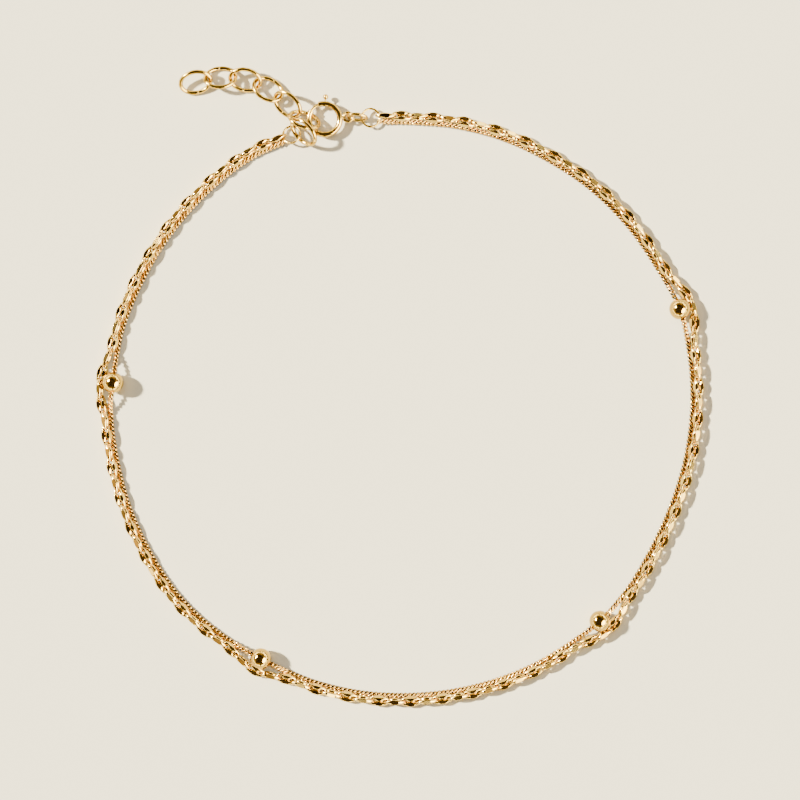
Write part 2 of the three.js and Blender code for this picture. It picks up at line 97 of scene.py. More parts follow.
# How deep the eye and its collar are set into the tube, the collar's radius, the thumb slot's play about
# its pin, and the nick where the two ends of a wire butt.
EYE_SET_IN, COLLAR_SET_IN, COLLAR_RADIUS = 0.08 * MM, 0.09 * MM, 0.25 * MM
SLOT_PLAY, SEAM_NICK = 0.16 * MM, 0.022 * MM

# Tints that an attribute lays over the gold: a random tone link by link, and painted shade in a chain's
# notches.
LINK_TONE = ("link_tone", (0.88, 0.78, 0.6, 1))
PAINTED_NOTCH_SHADE = ("hollow", (0.10, 0.06, 0.03, 1))

# Each gold's slot and colour, the scale of its polishing marks, its haze as a share of the finish's, how
# far the marks spread it, how strong its deep patches, worn edges and relief are, and its tints and painted
# shade.
GOLDS = {
    "Polished gold": dict(
        slot="polished_gold", colour="polished", scale=900, haze=1.3, spread=0.08,
        patch=0.35, wear=0.3, relief=0.25, shades=()),
    "Ball gold": dict(
        slot="polished_gold", colour="polished", scale=700, haze=0.6, spread=0.05,
        patch=0.2, wear=0.2, relief=0.12, shades=()),
    "Diamond-cut gold": dict(
        slot="cut_gold", colour="cut", scale=1500, haze=0.7, spread=0.08,
        patch=0.2, wear=0.4, relief=0.1, shades=(LINK_TONE,)),
    "Fine chain gold": dict(
        slot="chain_gold", colour="chain", scale=1800, haze=1.1, spread=0.1,
        patch=0.45, wear=0.5, relief=0.2, shades=(LINK_TONE, PAINTED_NOTCH_SHADE)),
}

# The middle of the view and the route's zero in the picture, in pixels, and a pixel in millimetres.
VIEW_MIDDLE, ROUTE_ZERO, PIXEL = (400, 400), (403, 384.75), 0.1365
# The low light's direction and its own width, in degrees.
KEY_AZIMUTH, KEY_ELEVATION, KEY_WIDTH = 163, 38, 4


def length_prop(name, description, default, **more):
    """A size in millimetres, kept in metres."""
    return FloatProperty(
        name=name, description=description, default=default * MM,
        unit="LENGTH", subtype="DISTANCE", precision=5, min=0.0, **more)


def colour_prop(name, description, default):
    return FloatVectorProperty(
        name=name, description=description, default=default, subtype="COLOR",
        size=3, min=0.0, max=1.0)


def angle_prop(name, description, degrees):
    return FloatProperty(
        name=name, description=description, default=math.radians(degrees), subtype="ANGLE", unit="ROTATION")


class StrandSizes(bpy.types.PropertyGroup):
    mirror_pitch: length_prop("Mirror pitch", "Distance from one mirror link to the next", 2.16)
    mirror_wire: length_prop("Mirror wire", "Wire of a mirror link at its ends", 0.36)
    mirror_width: length_prop("Mirror width", "Outer width of a mirror link", 1.24)
    mirror_depth: length_prop("Mirror depth", "Thickness of a mirror link's flattened sides", 0.68)
    mirror_roll: angle_prop("Mirror roll", "How far the flat mirror links lean out of the surface", 20)
    mirror_cut: angle_prop("Mirror cut", "Slope of the cut facets on a link's flat faces", 20)
    mirror_side_cut: angle_prop("Mirror side cut", "Slope of the cut facets on a link's outer sides", 12)
    mirror_bite: length_prop("Mirror bite", "How far two mirror links press into each other", 0.03)
    mirror_lift: length_prop("Mirror lift", "How much the leaning links lie higher", 0.128)
    strand_spacing: length_prop("Strand spacing", "From the curb chain's middle to the mirror chain's", 0.78)
    curb_pitch: length_prop("Curb pitch", "Distance from one curb link to the next", 0.58)
    curb_link_width: length_prop("Curb link width", "Outer width of a curb link", 0.58)
    curb_roll: angle_prop("Curb roll", "How far the curb links roll out of the surface", 38)
    curb_slant: angle_prop("Curb slant", "How far the curb links lie askew to their chain", 38)
    curb_thickness: length_prop("Curb thickness", "Height of the curb chain", 0.54)
    curb_wire: length_prop("Curb wire", "Wire of a curb link", 0.27)
    end_shift: length_prop("End shift", "How far both strands close in on their rings", 0.38)
    end_run: length_prop("End run", "Length in which the strands close in on their rings", 6.0)
    end_rise: length_prop("End rise", "Length in which the curb chain climbs level with its ring", 4.0)
    wire_gap: length_prop("Wire gap", "Between two wires that hook into each other", 0.1)


class BeadSizes(bpy.types.PropertyGroup):
    diameter: length_prop("Diameter", "Outside of a ball", 2.9)
    bore: length_prop("Bore", "Hole that the curb chain runs through", 1.0)
    lip: length_prop("Lip", "Rounding at the mouth of the bore", 0.09)
    rise: length_prop("Rise", "Length in which the curb chain climbs to a ball's bore", 3.4)
    swerve: length_prop("Swerve", "How much further out the mirror chain passes a ball", 1.0)
    swerve_run: length_prop("Swerve run", "Length of that swerve to each side", 5.6)


class FindingSizes(bpy.types.PropertyGroup):
    ring_diameter: length_prop("Thin ring", "Outside of the two thin rings", 2.75)
    ring_wire: length_prop("Thin ring wire", "Wire of the two thin rings", 0.3)
    clasp_diameter: length_prop("Spring ring", "Outside of the spring ring", 5.0)
    clasp_tube: length_prop("Tube", "Tube of the spring ring", 0.8)
    clasp_wall: length_prop("Tube wall", "Wall of the spring ring's tube", 0.13)
    clasp_lift: length_prop("Clasp lift", "Height of the spring ring's underside", 0.65)
    bolt_wire: length_prop("Bolt", "Wire of the bolt", 0.4)
    pin_wire: length_prop("Thumb pin", "Wire of the thumb pin", 0.3)
    pin_reach: length_prop("Pin reach", "From the ring's middle to the middle of the pin's ball", 3.05)
    pin_ball: length_prop("Pin ball", "Ball on the thumb pin", 0.7)
    eye_diameter: length_prop("Eye", "Outside of the clasp's eye", 1.6)
    eye_wire: length_prop("Eye wire", "Wire of the clasp's eye", 0.36)
    link_length: length_prop("Clasp link length", "Oval link at the clasp, outside", 2.96)
    link_width: length_prop("Clasp link width", "Oval link at the clasp, outside", 1.9)
    link_wire: length_prop("Clasp link wire", "Wire of the oval link at the clasp", 0.45)
    extender_length: length_prop("Extender length", "Extender link, outside", 4.7)
    extender_width: length_prop("Extender width", "Extender link, outside", 3.7)
    extender_wire: length_prop("Extender wire", "Wire of an extender link", 0.56)


class GoldFinish(bpy.types.PropertyGroup):
    polished: colour_prop("Polished gold", "Balls, rings, clasp and extender", (0.51, 0.33, 0.055))
    cut: colour_prop("Cut gold", "Mirror links", (0.64, 0.45, 0.11))
    chain: colour_prop("Chain gold", "Curb chain", (0.50, 0.26, 0.035))
    warm: colour_prop("Warm tone", "Deeper tone in hollows and along seams", (0.26, 0.11, 0.01))
    haze: FloatProperty(
        name="Haze", description="Roughness of the polish", default=0.09, min=0.0, max=1.0)


class StageLook(bpy.types.PropertyGroup):
    floor: colour_prop("Floor", "Pale paper that the anklet lies on", (0.81, 0.746, 0.515))
    view_width: length_prop("View width", "Width of the floor that the camera sees", 109.2)
    camera_height: length_prop("Camera height", "From the floor to the camera", 600)
    key_strength: FloatProperty(
        name="Key", description="Strength of the low light from the left", default=18.8, min=0.0)
    seed: IntProperty(name="Seed", description="Seed of the links' small differences", default=7)


# Places


def bump(distance, run):
    """1 at the middle of a bump, 0 beyond its run, level at both."""
    share = min(abs(distance) / run, 1.0)
    return 1 - share * share * (3 - 2 * share)


def turn(heading=0.0, roll=0.0, tilt=0.0):
    """Heading about Z, then the leading end up by the tilt, then a roll about the length; degrees."""
    return Euler((math.radians(roll), -math.radians(tilt), math.radians(heading)), "XYZ").to_matrix()


class Route:
    """The inner strand's route seen from above, as a fine polyline measured by its length."""

    PIECES = 4000

    def __init__(self, corners, shift):
        corners = [Vector(c) * MM + shift for c in corners]
        ends = [2 * corners[0] - corners[1], *corners, 2 * corners[-1] - corners[-2]]
        spans = len(corners) - 1
        self.points = []
        for i in range(self.PIECES + 1):
            place = spans * i / self.PIECES
            span = min(int(place), spans - 1)
            self.points.append(self.through(ends[span:span + 4], place - span))
        self.lengths = [0.0]
        for a, b in zip(self.points, self.points[1:]):
            self.lengths.append(self.lengths[-1] + (b - a).length)
        self.length = self.lengths[-1]
        self.corners = len(corners)

    @staticmethod
    def through(four, share):
        """A centripetal spline through the middle two of four points."""
        before, start, end, after = four
        first, middle, last = ((b - a).length ** 0.5 for a, b in zip(four, four[1:]))
        leave = (start - before) / first - (end - before) / (first + middle) + (end - start) / middle
        reach = (end - start) / middle - (after - start) / (middle + last) + (after - end) / last
        leave, reach = leave * middle, reach * middle
        cube = 2 * start - 2 * end + leave + reach
        square = 3 * (end - start) - 2 * leave - reach
        return ((cube * share + square) * share + leave) * share + start

    def length_at_corner(self, index):
        return self.lengths[round(index / (self.corners - 1) * self.PIECES)]

    def point_at(self, length, outward=0.0):
        """The place at a length along the route, moved outwards from the loop by a distance."""
        length = min(max(length, 0.0), self.length)
        low, high = 0, self.PIECES
        while high - low > 1:
            middle = (low + high) // 2
            low, high = (middle, high) if self.lengths[middle] <= length else (low, middle)
        a, b = self.points[low], self.points[high]
        along = b - a
        point = a + along * ((length - self.lengths[low]) / along.length)
        along.normalize()
        return (point + Vector((-along.y, along.x)) * outward).to_3d()


def settings():
    return bpy.context.scene


def lie_of_the_strands():
    """The route, the balls' lengths along it and the shift from the source's places to the part's."""
    low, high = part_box("bead_1")
    middle = (low + high) / 2
    x, y = STRAND_ROUTE[BEAD_STOPS[0]]
    shift = Vector((middle.x - x * MM, middle.y - y * MM))
    route = Route(STRAND_ROUTE, shift)
    beads = [route.length_at_corner(stop) for stop in BEAD_STOPS]
    return route, beads, shift


ROUTE, BEAD_LENGTHS, SHIFT = lie_of_the_strands()


def end_nearness(length, run, whole=ROUTE.length):
    """1 at either end of a line of this whole length, 0 beyond its run."""
    return bump(length, run) + bump(whole - length, run)


def end_shift(length):
    strands = settings().anklet_strands
    return strands.end_shift * end_nearness(length, strands.end_run)


def ball_distance(length):
    """How far off the nearest ball's middle is along the route."""
    return min(abs(length - middle) for middle in BEAD_LENGTHS)


def mirror_height():
    return settings().anklet_strands.mirror_width / 2


def curb_point(length):
    """The curb chain's middle: on the floor, up to each ball's bore and level with its rings."""
    strands, beads = settings().anklet_strands, settings().anklet_beads
    low, bore = strands.curb_thickness / 2, beads.diameter / 2
    climb = bump(max(ball_distance(length) - bore, 0.0), beads.rise)
    point = ROUTE.point_at(length, -end_shift(length))
    point.z = low + climb * (bore - low) + end_nearness(length, strands.end_rise) * (mirror_height() - low)
    return point


def mirror_point(length):
    """The mirror chain's middle: beside the curb chain, swerving out past each ball."""
    strands, beads = settings().anklet_strands, settings().anklet_beads
    swerve = beads.swerve * bump(ball_distance(length), beads.swerve_run)
    point = ROUTE.point_at(length, strands.strand_spacing - end_shift(length) + swerve)
    point.z = mirror_height() + strands.mirror_lift * (1 - end_nearness(length, strands.end_run) / 2)
    return point


def ring_reach():
    """From a thin ring's middle to the middle of its wire."""
    findings = settings().anklet_findings
    return (findings.ring_diameter - findings.ring_wire) / 2


def tube_reach():
    """From the spring ring's middle to the middle of its tube."""
    findings = settings().anklet_findings
    return (findings.clasp_diameter - findings.clasp_tube) / 2


def eye_distance():
    """From the spring ring's middle to the middle of its eye."""
    findings = settings().anklet_findings
    return findings.clasp_diameter / 2 + findings.eye_diameter / 2 - EYE_SET_IN


def ring_place(corner, neighbour, side, heading, roll, tilt):
    """A leaning thin ring's place, with its wire level with the mirror chain that it holds.

    The chain meets it left (1) or right (-1) of the way to the neighbouring corner.
    """
    strands, reach = settings().anklet_strands, ring_reach()
    rotation = turn(heading, roll, tilt)
    normal = rotation @ UP
    aside = math.asin((strands.strand_spacing - strands.end_shift) / reach)
    towards = (Vector(neighbour) - Vector(corner)).to_3d().normalized()
    towards.rotate(Matrix.Rotation(side * aside, 3, "Z"))
    towards.z = -towards.dot(normal) / normal.z
    towards.normalize()
    middle = (Vector(corner) * MM + SHIFT).to_3d()
    middle.z = mirror_height() - reach * towards.z
    return Matrix.Translation(middle) @ rotation.to_4x4()


def right_ring_place():
    return ring_place(STRAND_ROUTE[0], STRAND_ROUTE[1], 1, heading=180, roll=0, tilt=8)


def left_ring_place():
    return ring_place(STRAND_ROUTE[-1], STRAND_ROUTE[-2], -1, heading=-24, roll=-9, tilt=22)


def extender_places():
    """Where the extender's links lie: on the floor or held up from it, each a step from the one before."""
    findings = settings().anklet_findings
    length, width, wire = findings.extender_length, findings.extender_width, findings.extender_wire
    middle = left_ring_place().translation.to_2d()
    places = []
    for along, across, lift, heading, roll, tilt in EXTENDER_LINKS:
        step = Vector((along * (length - 2 * wire), across * width))
        middle += Matrix.Rotation(math.radians(heading), 2) @ step
        rotation = turn(heading, roll, tilt)
        end_rise = (length - wire) / 2 * (rotation @ Vector((1, 0, 0))).z
        side_rise = (width - wire) / 2 * (rotation @ Vector((0, 1, 0))).z
        height = math.hypot(end_rise, side_rise) + wire / 2 + lift * width
        places.append(Matrix.Translation((*middle, height)) @ rotation.to_4x4())
    return places


def clasp_middle():
    findings = settings().anklet_findings
    middle = (Vector(CLASP_PLACE) * MM + SHIFT).to_3d()
    middle.z = findings.clasp_lift + findings.clasp_tube / 2
    return middle


# Meshes


@contextmanager
def editing(mesh):
    """A copy of a mesh that can be edited, written back at the end."""
    copy = bmesh.new()
    copy.from_mesh(mesh)
    yield copy
    copy.to_mesh(mesh)
    copy.free()


def mesh_object(name, vertices, faces, flat_faces=(), solid=True):
    """An object at the origin: a solid's smooth skin with its faces turned outwards, or a flat sheet."""
    mesh = bpy.data.meshes.new(name)
    mesh.from_pydata([tuple(v) for v in vertices], [], faces)
    mesh.polygons.foreach_set("use_smooth", [solid] * len(mesh.polygons))
    for index in flat_faces:
        mesh.polygons[index].use_smooth = False
    mesh.update()
    if solid:
        with editing(mesh) as skin:
            bmesh.ops.recalc_face_normals(skin, faces=skin.faces)
    obj = bpy.data.objects.new(name, mesh)
    bpy.context.scene.collection.objects.link(obj)
    return obj


def apply_modifiers(obj):
    """Puts the mesh that an object's modifiers make in place of its own."""
    graph = bpy.context.evaluated_depsgraph_get()
    made = bpy.data.meshes.new_from_object(obj.evaluated_get(graph), depsgraph=graph)
    before = obj.data
    obj.modifiers.clear()
    obj.data = made
    bpy.data.meshes.remove(before)
    made.name = obj.name


def joined_rings(rings, closed=True):
    """Vertices and faces of a skin over rings of points, closed into a loop or capped at both ends."""
    sides = len(rings[0])
    vertices = [point for ring in rings for point in ring]
    faces = []
    spans = len(rings) if closed else len(rings) - 1
    for i in range(spans):
        here, there = i * sides, (i + 1) % len(rings) * sides
        for j in range(sides):
            k = (j + 1) % sides
            faces.append((here + j, here + k, there + k, there + j))
    if not closed:
        faces.append(tuple(range(sides - 1, -1, -1)))
        faces.append(tuple(range((len(rings) - 1) * sides, len(rings) * sides)))
    return vertices, faces


def merge_parts(parts):
    """One list of vertices and one of faces from several."""
    vertices, faces = [], []
    for some_vertices, some_faces in parts:
        start = len(vertices)
        vertices.extend(some_vertices)
        faces.extend(tuple(start + i for i in face) for face in some_faces)
    return vertices, faces


def circle(sides, offset=0.0):
    """Angles at even steps round a circle."""
    return [2 * math.pi * (i + offset) / sides for i in range(sides)]


def wire_link(length, width, wire, place, stations, sides, seam=None, offset=0.0):
    """An oval of wire at a place; a seam is the angle at which the wire's ends meet."""
    half_length, half_width = (length - wire) / 2, (width - wire) / 2
    stops = [(angle, 1.0) for angle in circle(stations)]
    if seam is not None:
        nick = SEAM_NICK / half_width
        stops = [(angle, size) for angle, size in stops if abs(angle - seam) > 2.5 * nick]
        sizes = ((-2, 1.0), (-1, 0.97), (0, 0.84), (1, 0.97), (2, 1.0))
        stops = sorted(stops + [(seam + step * nick, size) for step, size in sizes])
    rings = []
    for angle, size in stops:
        point = Vector((half_length * math.cos(angle), half_width * math.sin(angle), 0))
        outward = Vector((half_width * math.cos(angle), half_length * math.sin(angle), 0)).normalized()
        radius = wire / 2 * size
        rings.append([
            place @ (point + outward * (radius * math.cos(t)) + UP * (radius * math.sin(t)))
            for t in circle(sides, offset)])
    return joined_rings(rings)


def arc_ring(radius, wire, degrees, sides):
    """A ring of points round a wire that runs about Z, at one angle."""
    angle = math.radians(degrees)
    outward = Vector((math.cos(angle), math.sin(angle), 0))
    return [
        outward * (radius + wire / 2 * math.cos(t)) + UP * (wire / 2 * math.sin(t))
        for t in circle(sides)]


def arc_rings(radius, wire, start, end, steps, sides):
    """Rings of points along an arc of wire about Z."""
    return [arc_ring(radius, wire, start + (end - start) * i / steps, sides) for i in range(steps + 1)]


def turned(profile, sides):
    """A closed skin turned about X from a closed profile of (along, radius) points."""
    return joined_rings([
        [Vector((a, r * math.cos(t), r * math.sin(t))) for a, r in profile] for t in circle(sides)])


def rod(profile, sides, place):
    """A capped rod about a place's X axis, from (along, radius) points in a row."""
    return joined_rings([
        [place @ Vector((a, r * math.cos(t), r * math.sin(t))) for t in circle(sides)] for a, r in profile
    ], closed=False)


def finish_piece(obj, gold, node, body="anklet"):
    """Gives a piece its gold and makes it stand for its CAD node on its body."""
    if not obj.data.materials:
        obj.data.materials.append(gold_material(gold))
    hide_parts(node)
    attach(obj, body)


# Node groups and materials


def set_inputs(node, inputs):
    """Gives each input, by its name or number, a value or a link from another node's socket."""
    for key, value in inputs.items():
        if isinstance(value, bpy.types.NodeSocket):
            node.id_data.links.new(value, node.inputs[key])
        else:
            node.inputs[key].default_value = value


def add_node(tree, kind, inputs=None, **attributes):
    """A node with its attributes set first and then its inputs."""
    node = tree.nodes.new(kind)
    for name, value in attributes.items():
        setattr(node, name, value)
    set_inputs(node, inputs or {})
    return node


def new_group(name, kind, inputs, outputs):
    """A new group with its named inputs and outputs, and the sockets that give the inputs inside it.

    Each of them is (name, kind), with its default and its limits where it has any.
    """
    tree = bpy.data.node_groups.new(name, kind)
    for direction, sockets in (("INPUT", inputs), ("OUTPUT", outputs)):
        for label, sort, *values in sockets:
            made = tree.interface.new_socket(name=label, in_out=direction, socket_type=f"NodeSocket{sort}")
            if values:
                made.default_value = values[0]
            if len(values) == 3:
                made.min_value, made.max_value = values[1:]
    return tree, add_node(tree, "NodeGroupInput").outputs


def worked_out(tree, operation, *terms):
    """The outcome of a sum on sockets or numbers."""
    return add_node(tree, "ShaderNodeMath", dict(enumerate(terms)), operation=operation).outputs[0]


def noise(tree, where, scale, detail, roughness=0.5):
    return add_node(tree, "ShaderNodeTexNoise", {
        "Vector": where, "Scale": scale, "Detail": detail, "Roughness": roughness}).outputs["Fac"]


def stretched(tree, value, low, high, least=0.0):
    """A value stretched so that the low one gives the least and the high one gives 1."""
    return add_node(tree, "ShaderNodeMapRange", {
        "Value": value, "From Min": low, "From Max": high, "To Min": least}).outputs["Result"]


def mixed(tree, amount, first, second, blend="MIX"):
    """Two colours mixed."""
    return add_node(
        tree, "ShaderNodeMix", {"Factor": amount, "A": first, "B": second},
        data_type="RGBA", blend_type=blend).outputs["Result"]


def polish_marks_group():
    """Fine wandering marks of the polishing wheel: a roughness and a height."""
    tree = bpy.data.node_groups.get("Polish marks")
    if tree:
        return tree
    tree, given = new_group("Polish marks", "ShaderNodeTree", (
        ("Scale", "Float", 900.0), ("Haze", "Float", 0.09, 0.0, 1.0), ("Spread", "Float", 0.06, 0.0, 1.0),
    ), (("Roughness", "Float"), ("Height", "Float")))
    where = add_node(tree, "ShaderNodeTexCoord").outputs["Object"]
    streaks = add_node(tree, "ShaderNodeMapping", {
        "Vector": where, "Rotation": (0.4, 0.2, 0.7), "Scale": (1.0, 6.0, 2.0)}).outputs["Vector"]
    fine = noise(tree, streaks, given["Scale"], 4.0, 0.6)
    broad = noise(tree, where, worked_out(tree, "MULTIPLY", given["Scale"], 0.35), 2.0)
    marks = worked_out(tree, "MULTIPLY", fine, broad)
    roughness = worked_out(tree, "MULTIPLY_ADD", marks, given["Spread"], given["Haze"])
    add_node(tree, "NodeGroupOutput", {"Roughness": roughness, "Height": fine})
    return tree


def gold_tone_group():
    """Gold that is deeper in random patches, and a little paler along worn edges."""
    tree = bpy.data.node_groups.get("Gold tone")
    if tree:
        return tree
    tree, given = new_group("Gold tone", "ShaderNodeTree", (
        ("Gold", "Color", (0.8, 0.5, 0.2, 1)), ("Deep", "Color", (0.5, 0.25, 0.06, 1)),
        ("Patch scale", "Float", 500.0), ("Patch strength", "Float", 0.25, 0.0, 1.0),
        ("Wear", "Float", 0.3, 0.0, 1.0),
    ), (("Color", "Color"),))
    where = add_node(tree, "ShaderNodeTexCoord").outputs["Object"]
    patches = stretched(tree, noise(tree, where, given["Patch scale"], 3.0), 0.42, 0.72)
    deep = worked_out(tree, "MULTIPLY", patches, given["Patch strength"])
    colour = mixed(tree, deep, given["Gold"], given["Deep"])
    edges = stretched(tree, add_node(tree, "ShaderNodeNewGeometry").outputs["Pointiness"], 0.52, 0.68)
    worn = worked_out(tree, "MULTIPLY", edges, given["Wear"])
    colour = mixed(tree, worn, colour, (0.80, 0.58, 0.2, 1))
    add_node(tree, "NodeGroupOutput", {"Color": colour})
    return tree


def gold_material(name):
    """Polished gold with its marks, tone and edge wear at the piece's own scale."""
    made = bpy.data.materials.get(name)
    if made:
        return made
    finish, gold = settings().anklet_gold, GOLDS[name]
    made = bpy.data.materials.new(name)
    made.use_nodes = True
    tree = made.node_tree
    marks = add_node(tree, "ShaderNodeGroup", {
        "Scale": gold["scale"], "Haze": finish.haze * gold["haze"], "Spread": gold["spread"],
    }, node_tree=polish_marks_group()).outputs
    colour = add_node(tree, "ShaderNodeGroup", {
        "Gold": (*getattr(finish, gold["colour"]), 1), "Deep": (*finish.warm, 1),
        "Patch scale": gold["scale"] * 0.6, "Patch strength": gold["patch"], "Wear": gold["wear"],
    }, node_tree=gold_tone_group()).outputs["Color"]
    # Tints from the mesh: link_tone is a random tone per link; hollow is painted shade on the curb links'
    # undersides.
    for attribute, shade in gold["shades"]:
        amount = add_node(tree, "ShaderNodeAttribute", attribute_name=attribute).outputs["Fac"]
        colour = mixed(tree, amount, colour, shade, "MULTIPLY")
    relief = add_node(tree, "ShaderNodeBump", {
        "Height": marks["Height"], "Strength": gold["relief"], "Distance": 0.01 * MM}).outputs["Normal"]
    set_inputs(tree.nodes["Principled BSDF"], {
        "Metallic": 1.0, "Roughness": marks["Roughness"], "Normal": relief, "Base Color": colour})
    return made


def paper_material():
    """Pale uncoated paper with a faint tooth and cloudy tone."""
    floor = settings().anklet_stage.floor
    made = bpy.data.materials.new("Pale paper")
    made.use_nodes = True
    tree = made.node_tree
    where = add_node(tree, "ShaderNodeTexCoord").outputs["Object"]
    clouds = noise(tree, where, 40.0, 5.0)
    colour = mixed(tree, clouds, (*floor, 1), (*[c * 0.975 for c in floor], 1))
    relief = add_node(tree, "ShaderNodeBump", {
        "Height": noise(tree, where, 2600.0, 4.0), "Strength": 0.12, "Distance": 0.02 * MM,
    }).outputs["Normal"]
    set_inputs(tree.nodes["Principled BSDF"], {
        "Roughness": 0.9, "Specular IOR Level": 0.15, "Base Color": colour, "Normal": relief})
    return made


# Chains by Geometry Nodes


def links_along_strand_tree():
    """Sets a link at even steps along a strand, turned by its own roll, and makes it real."""
    tree = bpy.data.node_groups.get("Links along a strand")
    if tree:
        return tree
    tree, given = new_group("Links along a strand", "GeometryNodeTree", (
        ("Strand", "Geometry"), ("Link", "Object"), ("Count", "Int", 10), ("First", "Int", 0),
        ("Turn", "Float", 0.0), ("Jitter", "Float", 0.0), ("Seed", "Int", 0), ("Finish", "Material"),
    ), (("Chain", "Geometry"),))
    curve = add_node(tree, "GeometryNodeMeshToCurve", {"Mesh": given["Strand"]}).outputs["Curve"]
    places = add_node(
        tree, "GeometryNodeCurveToPoints", {"Curve": curve, "Count": given["Count"]}, mode="COUNT").outputs
    heading = add_node(
        tree, "FunctionNodeAxesToRotation", {
            "Primary Axis": places["Tangent"], "Secondary Axis": (0, 0, 1),
        }, primary_axis="X", secondary_axis="Z").outputs["Rotation"]

    # Every second link has the turn, and each the lean of its place on the strand and a small chance roll.
    index = add_node(tree, "GeometryNodeInputIndex").outputs["Index"]
    by_turns = worked_out(tree, "FLOORED_MODULO", worked_out(tree, "ADD", index, given["First"]), 2.0)
    lean = add_node(
        tree, "GeometryNodeInputNamedAttribute", {"Name": "lean"}, data_type="FLOAT").outputs["Attribute"]
    leaning = worked_out(tree, "ADD", worked_out(tree, "MULTIPLY", by_turns, given["Turn"]), lean)
    chance = add_node(
        tree, "FunctionNodeRandomValue", {2: -1.0, 3: 1.0, "Seed": given["Seed"]},
        data_type="FLOAT").outputs[1]
    angle = worked_out(tree, "MULTIPLY_ADD", chance, given["Jitter"], leaning)
    roll = add_node(
        tree, "FunctionNodeAxisAngleToRotation", {"Axis": (1, 0, 0), "Angle": angle}).outputs["Rotation"]
    rolled = add_node(
        tree, "FunctionNodeRotateRotation", {"Rotation": heading, "Rotate By": roll},
        rotation_space="LOCAL").outputs["Rotation"]

    shape = add_node(
        tree, "GeometryNodeObjectInfo", {"Object": given["Link"], "As Instance": True},
        transform_space="ORIGINAL").outputs["Geometry"]
    links = add_node(tree, "GeometryNodeInstanceOnPoints", {
        "Points": places["Points"], "Instance": shape, "Rotation": rolled}).outputs["Instances"]
    tone = add_node(
        tree, "FunctionNodeRandomValue", {"Seed": worked_out(tree, "ADD", given["Seed"], 11.0)},
        data_type="FLOAT").outputs[1]
    toned = add_node(
        tree, "GeometryNodeStoreNamedAttribute", {"Geometry": links, "Name": "link_tone", "Value": tone},
        data_type="FLOAT", domain="INSTANCE").outputs["Geometry"]
    real = add_node(tree, "GeometryNodeRealizeInstances", {"Geometry": toned}).outputs["Geometry"]
    chain = add_node(
        tree, "GeometryNodeSetMaterial", {"Geometry": real, "Material": given["Finish"]}).outputs["Geometry"]
    add_node(tree, "NodeGroupOutput", {"Chain": chain})
    return tree


def strand_polyline(name, points, leans):
    """A line of vertices with the roll of the links at each."""
    mesh = bpy.data.meshes.new(name)
    mesh.from_pydata([tuple(p) for p in points], [(i, i + 1) for i in range(len(points) - 1)], [])
    mesh.attributes.new("lean", "FLOAT", "POINT").data.foreach_set("value", leans)
    obj = bpy.data.objects.new(name, mesh)
    bpy.context.scene.collection.objects.link(obj)
    return obj


def chain_of_links(name, points, leans, link, count, first, odd_turn, jitter, gold):
    """A chain as one plain mesh, from the strand's line and one link."""
    strand = strand_polyline(name, points, leans)
    modifier = strand.modifiers.new("Links", "NODES")
    modifier.node_group = links_along_strand_tree()
    values = {
        "Link": link, "Count": count, "First": first, "Turn": odd_turn,
        "Jitter": jitter, "Seed": settings().anklet_stage.seed, "Finish": gold_material(gold),
    }
    for item in modifier.node_group.interface.items_tree:
        if item.item_type == "SOCKET" and item.in_out == "INPUT" and item.name in values:
            modifier[item.identifier] = values[item.name]
    apply_modifiers(strand)
    return strand


# Pieces


def mirror_link_object(length):
    """An oval link whose swollen sides are cut flat above, below and outside, in leaf-shaped facets."""
    strands = settings().anklet_strands
    wire, width, thick = strands.mirror_wire, strands.mirror_width, strands.mirror_depth / 2
    end, side, half = (length - wire) / 2, (width - wire) / 2, wire / 2
    slope, side_slope = math.tan(strands.mirror_cut), math.tan(strands.mirror_side_cut)
    # Along a quarter: place on the middle line, half thickness, reach inwards, the facet's reach
    # inwards and outwards, the side facet's half height, and how much of the cut's slope there is.
    quarter = [
        (end, 0.0, half, half, 0.4 * half, 0.4 * half, 0.4 * half, 0.0),
        (end - 0.03 * MM, side * 0.42, half, half, 0.4 * half, 0.4 * half, 0.4 * half, 0.0),
        (end - 0.14 * MM, side * 0.78, half * 1.04, half, 0.35 * half, 0.35 * half, 0.4 * half, 0.0),
        (end - 0.56 * MM, side * 0.97, thick * 0.84, half * 1.5, 0.1 * half, 0.1 * half, 0.45 * thick, 0.5),
        (end - 0.74 * MM, side, thick * 0.98, half * 2.25, 0.15 * half, 0.12 * half, 0.66 * thick, 1.0),
        (end - 0.98 * MM, side, thick, half * 2.35, 1.1 * half, 0.7 * half, 0.76 * thick, 1.0),
        (0.0, side, thick, half * 2.35, 1.45 * half, 0.75 * half, 0.8 * thick, 1.0),
    ]
    stations = list(quarter)
    stations += [(-x, y, *rest) for x, y, *rest in reversed(quarter[:-1])]
    stations += [(-x, -y, *rest) for x, y, *rest in stations[1:-1]]
    count = len(stations)
    rings = []
    for i, (x, y, high, inner, flat_in, flat_out, tall, cut) in enumerate(stations):
        before, after = stations[i - 1], stations[(i + 1) % count]
        along = Vector((after[0] - before[0], after[1] - before[1], 0)).normalized()
        outward = Vector((along.y, -along.x, 0))
        if outward.x * x + outward.y * y < 0:
            outward = -outward
        facing = cut * (1 if y > 0 else -1)
        rise, lean = slope * facing, side_slope * facing
        point = Vector((x, y, 0))
        corners = [
            (half - tall * lean, -tall), (half + tall * lean, tall),
            (flat_out, high + flat_out * rise), (-flat_in, high - flat_in * rise),
            (-inner, high * 0.4 - inner * rise * 0.6), (-inner, -high * 0.4 - inner * rise * 0.6),
            (-flat_in, -high - flat_in * rise), (flat_out, -high + flat_out * rise)]
        rings.append([point + outward * across + UP * up for across, up in corners])
    vertices, faces = joined_rings(rings)
    cut_through = [station[7] == 1.0 for station in stations]
    flats = []
    for i in range(count):
        if cut_through[i] and cut_through[(i + 1) % count]:
            flats += [i * 8, i * 8 + 2, i * 8 + 6]
    return mesh_object("mirror_link_shape", vertices, faces, flats)


